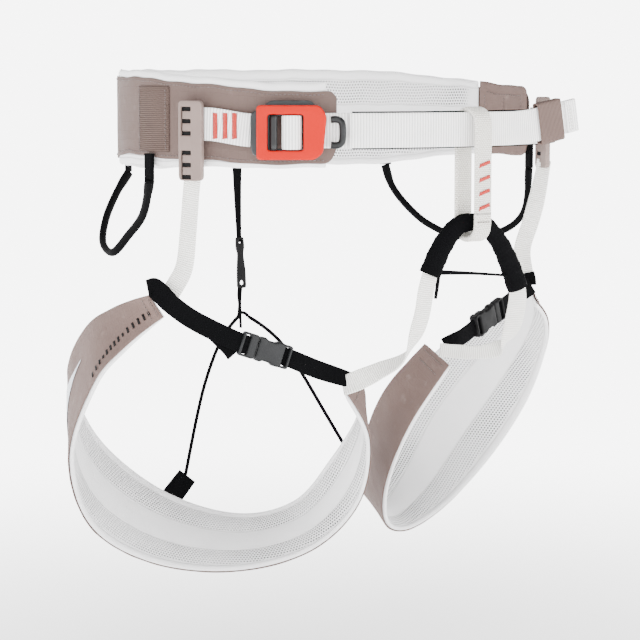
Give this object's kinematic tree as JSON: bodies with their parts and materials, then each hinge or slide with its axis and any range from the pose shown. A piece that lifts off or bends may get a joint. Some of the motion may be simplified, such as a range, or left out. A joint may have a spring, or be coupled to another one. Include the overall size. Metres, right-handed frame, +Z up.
{
  "type": "climbing harness",
  "caption": "Lightweight climbing harness with padded mesh waist belt, quick-adjust waist buckle, belay loop, gear loops and two openable leg loops, shaped as worn.",
  "frame": {"origin": "centre of the waist opening at mid height of the belt", "axes": "+Z up along the wearer, -Y the way the wearer faces, +X to the wearer's left"},
  "size_m": [0.3691, 0.2485, 0.3098],
  "materials": {
    "mesh": "perforated mesh",
    "taupe_cloth": "matt ripstop",
    "white_webbing": "ribbed webbing",
    "taupe_webbing": "ribbed webbing",
    "black_webbing": "matt webbing",
    "reflective": "reflective print",
    "orange_alloy": "satin anodised",
    "dark_alloy": "satin anodised",
    "taupe_plastic": "moulded",
    "black_plastic": "moulded",
    "black_rubber": "sheathed cord"
  },
  "bodies": {
    "harness": {"bridge_sheath": "black_webbing", "bridge_strap_left": "white_webbing", "bridge_strap_right": "white_webbing", "buckle_base": "dark_alloy", "buckle_hook": "dark_alloy", "cross_elastic": "black_webbing", "drop_tape": "black_webbing", "elastic_branch": "black_webbing", "gear_patch_left": "taupe_webbing", "gear_patch_right": "taupe_webbing", "gear_tab_left_front": "black_webbing", "gear_tab_left_rear": "black_webbing", "gear_tab_right_front": "black_webbing", "gear_tab_right_rear": "black_webbing", "ladder_left": "taupe_plastic", "ladder_right": "taupe_plastic", "rear_cord_left": "black_webbing", "rear_cord_right": "black_webbing", "riser_left": "white_webbing", "riser_right": "white_webbing", "strap_wear_tape": "black_webbing", "tail_fold": "white_webbing", "waist_end_panel": "taupe_cloth", "waist_lining": "mesh", "waist_shell": "taupe_cloth", "waist_strap": "white_webbing", "waist_strap_short": "white_webbing", "waist_strap_tail": "white_webbing", "waist_tongue": "taupe_cloth"},
    "buckle": {"buckle_frame": "orange_alloy", "buckle_bar": "dark_alloy", "strap_wrap": "white_webbing"},
    "belay": {"belay_loop": "white_webbing"},
    "gear_right": {"gear_loop_right": "black_rubber"},
    "gear_left": {"gear_loop_left": "black_rubber"},
    "drop": {"drop_clip": "black_plastic", "drop_loop": "black_webbing"},
    "keeper": {"tail_keeper": "taupe_cloth"},
    "leg_right": {"leg_lining_right": "mesh", "leg_shell_right": "taupe_cloth", "leg_reflector_right": "reflective", "leg_socket_right": "black_plastic", "leg_strap_inner_right": "black_webbing", "leg_strap_outer_right": "black_webbing", "leg_eye_right": "black_webbing", "leg_rear_tab_right": "black_webbing"},
    "leg_left": {"leg_lining_left": "mesh", "leg_shell_left": "taupe_cloth", "leg_reflector_left": "reflective", "leg_socket_left": "black_plastic", "leg_strap_inner_left": "black_webbing", "leg_strap_outer_left": "black_webbing", "leg_eye_left": "black_webbing", "leg_rear_tab_left": "black_webbing"},
    "plug_right": {"leg_plug_right": "black_plastic"},
    "plug_left": {"leg_plug_left": "black_plastic"}
  },
  "joints": [
    {"name": "buckle_tilt", "type": "hinge", "parent": "harness", "child": "buckle", "pos_m": [-0.11527, -0.08221, -0.0039], "axis": [0, 0, -1], "range_deg": [0, 35]},
    {"name": "belay_slide", "type": "slide", "parent": "harness", "child": "belay", "axis": [0.9979, 0.0655, 0], "range_m": [-0.0015, 0.004]},
    {"name": "gear_swing_right", "type": "hinge", "parent": "harness", "child": "gear_right", "pos_m": [-0.14439, -0.01256, -0.033], "axis": [0.4064, 0.9137, 0], "range_deg": [-8, 60]},
    {"name": "gear_swing_left", "type": "hinge", "parent": "harness", "child": "gear_left", "pos_m": [0.14439, -0.01256, -0.033], "axis": [0.4064, -0.9137, 0], "range_deg": [-8, 60]},
    {"name": "drop_swing", "type": "hinge", "parent": "harness", "child": "drop", "pos_m": [-0.0013, 0.1108, -0.082], "axis": [1, 0, 0], "range_deg": [-20, 20], "deforming": ["rear_cord_right", "rear_cord_left"]},
    {"name": "keeper_slide", "type": "slide", "parent": "harness", "child": "keeper", "axis": [0.9803, 0.1, 0.1701], "range_m": [-0.003, 0.003]},
    {"name": "leg_swing_right", "type": "hinge", "parent": "harness", "child": "leg_right", "pos_m": [-0.146, -0.024, -0.104], "axis": [0.8921, -0.248, -0.3776], "range_deg": [-12, 25], "stiffness_Nm_per_rad": 1, "springref_deg": 5.73, "deforming": ["rear_cord_right", "bridge_strap_right", "riser_right"]},
    {"name": "leg_swing_left", "type": "hinge", "parent": "harness", "child": "leg_left", "pos_m": [0.037, -0.054, -0.146], "axis": [0.8837, 0.3089, 0.3518], "range_deg": [-12, 25], "stiffness_Nm_per_rad": 1, "springref_deg": 5.73, "deforming": ["rear_cord_left", "bridge_strap_left", "riser_left"]},
    {"name": "plug_slide_right", "type": "slide", "parent": "leg_right", "child": "plug_right", "axis": [-0.9239, 0.199, 0.3269], "range_m": [0, 0.016], "deforming": ["leg_strap_outer_right"]},
    {"name": "plug_slide_left", "type": "slide", "parent": "leg_left", "child": "plug_left", "axis": [0.9074, 0.2638, 0.3271], "range_m": [0, 0.016], "deforming": ["leg_strap_outer_left"]}
  ]
}
